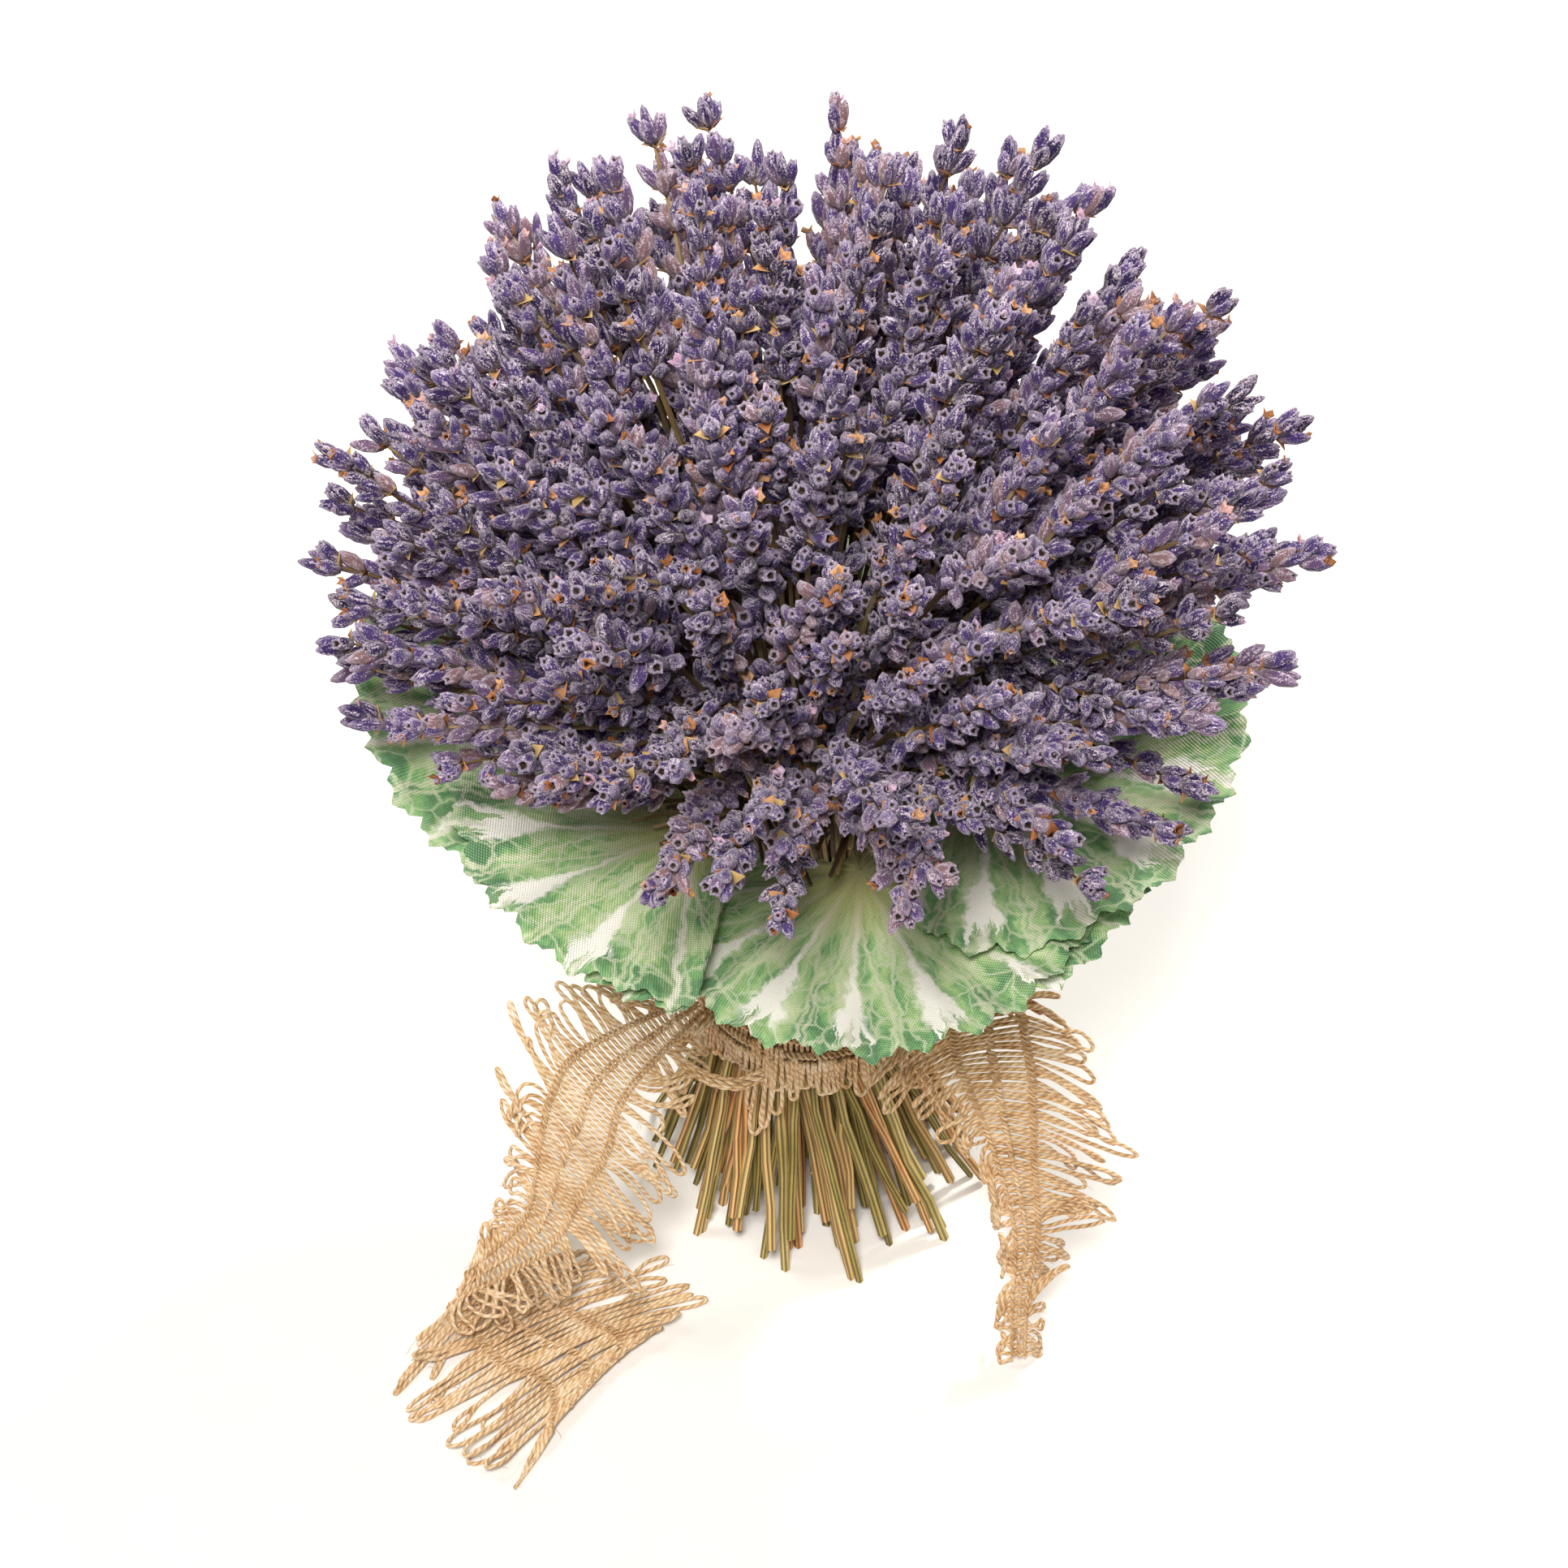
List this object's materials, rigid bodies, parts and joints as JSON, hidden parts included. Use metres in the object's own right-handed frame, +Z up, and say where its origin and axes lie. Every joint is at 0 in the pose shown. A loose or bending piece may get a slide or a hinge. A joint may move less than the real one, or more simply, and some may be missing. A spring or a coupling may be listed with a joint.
{
  "type": "bunch of dried lavender",
  "caption": "Hand-tied bunch of dried lavender that stands on its splayed cut stems, with a collar of fabric leaves and a looped jute tie.",
  "frame": {"origin": "middle of the central stem's cut end, on the surface that the bunch stands on", "axes": "+Z up along the bunch, from the cut stems to the flower heads; the front, where the leaf collar droops and the jute tails hang, looks along -Y"},
  "size_m": [0.2341, 0.218, 0.3277],
  "materials": {
    "dried_lavender": "dry, matt, furry calyces in muted blue-violet",
    "dried_stem": "dry straw stems, olive to brown, faintly ribbed",
    "printed_fabric": "stiff woven polyester, printed green and cream, pleated",
    "jute_yarn": "twisted natural jute yarn, matt and hairy"
  },
  "bodies": {
    "root": {"flower_spray_01": "dried_lavender", "flower_spray_02": "dried_lavender", "flower_spray_03": "dried_lavender", "flower_spray_04": "dried_lavender", "flower_spray_05": "dried_lavender", "flower_spray_06": "dried_lavender", "flower_spray_07": "dried_lavender", "flower_spray_08": "dried_lavender", "flower_spray_09": "dried_lavender", "flower_spray_10": "dried_lavender", "flower_spray_11": "dried_lavender", "flower_spray_12": "dried_lavender", "flower_spray_13": "dried_lavender", "flower_spray_14": "dried_lavender", "flower_spray_15": "dried_lavender", "flower_spray_16": "dried_lavender", "flower_spray_17": "dried_lavender", "flower_spray_18": "dried_lavender", "flower_spray_19": "dried_lavender", "flower_spray_20": "dried_lavender", "flower_spray_21": "dried_lavender", "flower_spray_22": "dried_lavender", "flower_spray_23": "dried_lavender", "flower_spray_24": "dried_lavender", "flower_spray_25": "dried_lavender", "flower_spray_26": "dried_lavender", "flower_spray_27": "dried_lavender", "flower_spray_28": "dried_lavender", "flower_spray_29": "dried_lavender", "flower_spray_30": "dried_lavender", "flower_spray_31": "dried_lavender", "flower_spray_32": "dried_lavender", "flower_spray_33": "dried_lavender", "flower_spray_34": "dried_lavender", "flower_spray_35": "dried_lavender", "flower_spray_36": "dried_lavender", "flower_spray_37": "dried_lavender", "flower_spray_38": "dried_lavender", "flower_spray_39": "dried_lavender", "flower_spray_40": "dried_lavender", "flower_spray_41": "dried_lavender", "flower_spray_42": "dried_lavender", "flower_spray_43": "dried_lavender", "flower_spray_44": "dried_lavender", "flower_spray_45": "dried_lavender", "cut_stems": "dried_stem", "leaf_front": "printed_fabric", "leaf_front_right": "printed_fabric", "leaf_front_left": "printed_fabric", "leaf_left": "printed_fabric", "leaf_right": "printed_fabric", "leaf_back_right": "printed_fabric", "leaf_back": "printed_fabric", "leaf_back_left": "printed_fabric", "jute_band": "jute_yarn", "jute_tail_left": "jute_yarn", "jute_tail_right": "jute_yarn"}
  },
  "joints": []
}
